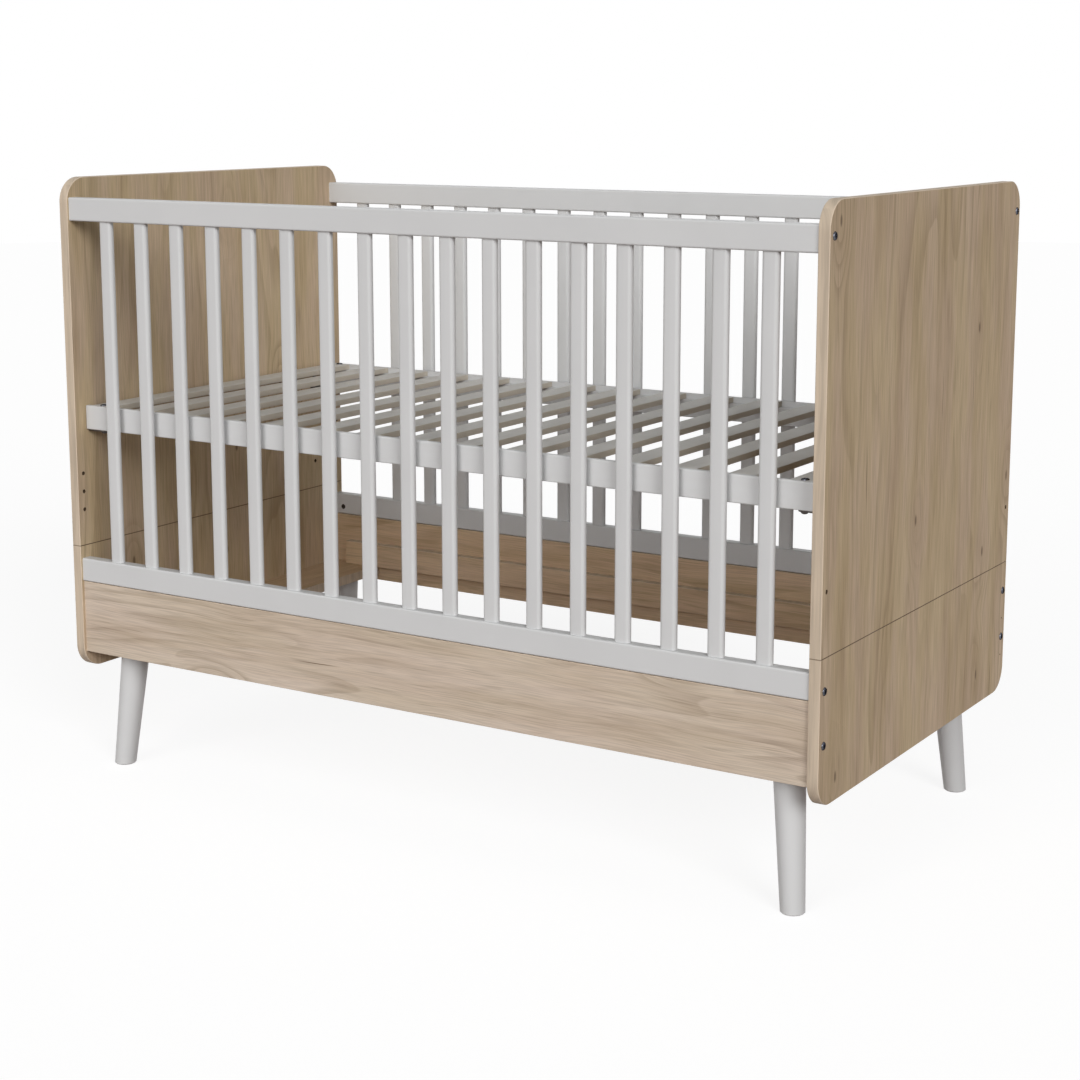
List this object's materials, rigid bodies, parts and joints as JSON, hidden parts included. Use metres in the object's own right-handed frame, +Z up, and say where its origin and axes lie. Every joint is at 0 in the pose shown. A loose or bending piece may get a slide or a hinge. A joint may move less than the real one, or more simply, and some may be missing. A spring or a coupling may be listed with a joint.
{
  "type": "baby crib",
  "caption": "Free-standing baby crib with wood-look end panels and aprons, white barred sides, splayed legs and a slatted base that sets at several heights.",
  "frame": {"origin": "on the floor under the middle of the crib", "axes": "+X along the length, to the right as seen from the front; +Y from the front side to the rear side; +Z up"},
  "size_m": [1.4404, 0.748, 1.042],
  "materials": {
    "oak_board": "matt oak-effect board with an upright grain on the ends and a lengthwise grain on the aprons",
    "white_lacquer": "satin white lacquer on solid wood",
    "white_slat": "thin matt white paint on solid wood",
    "beech": "raw turned beech",
    "zinc_steel": "bright zinc plate",
    "black_steel": "glossy blackened steel",
    "dark_steel": "dark brown coated steel"
  },
  "bodies": {
    "frame": {"end_panel_left_upper": "oak_board", "end_panel_left_lower": "oak_board", "end_panel_right_upper": "oak_board", "end_panel_right_lower": "oak_board", "panel_dowels": "beech", "top_rail_front": "white_lacquer", "top_rail_rear": "white_lacquer", "bottom_rail_front": "white_lacquer", "bottom_rail_rear": "white_lacquer", "bars_front": "white_lacquer", "bars_rear": "white_lacquer", "apron_front": "oak_board", "apron_rear": "oak_board", "rail_dowels": "beech", "apron_dowels": "beech", "ledger_front": "oak_board", "ledger_rear": "oak_board", "leg_board_left": "oak_board", "leg_board_right": "oak_board", "leg_front_left": "white_lacquer", "leg_front_right": "white_lacquer", "leg_rear_left": "white_lacquer", "leg_rear_right": "white_lacquer", "leg_studs": "zinc_steel", "leg_inserts": "zinc_steel", "board_screws": "zinc_steel", "panel_bolts": "black_steel", "barrel_nuts": "black_steel", "end_inserts": "zinc_steel"},
    "base": {"base_rail_front": "white_slat", "base_rail_rear": "white_slat", "slat_01": "white_slat", "slat_02": "white_slat", "slat_03": "white_slat", "slat_04": "white_slat", "slat_05": "white_slat", "slat_06": "white_slat", "slat_07": "white_slat", "slat_08": "white_slat", "slat_09": "white_slat", "slat_10": "white_slat", "slat_11": "white_slat", "slat_12": "white_slat", "slat_13": "white_slat", "slat_14": "white_slat", "slat_15": "white_slat", "bracket_front_left": "dark_steel", "bracket_front_right": "dark_steel", "bracket_rear_left": "dark_steel", "bracket_rear_right": "dark_steel", "base_bolts": "black_steel", "base_nuts": "dark_steel", "bracket_bolts": "zinc_steel"}
  },
  "joints": [
    {"name": "base_height", "type": "slide", "parent": "frame", "child": "base", "axis": [0, 0, 1], "range_m": [-0.3187, 0]}
  ]
}
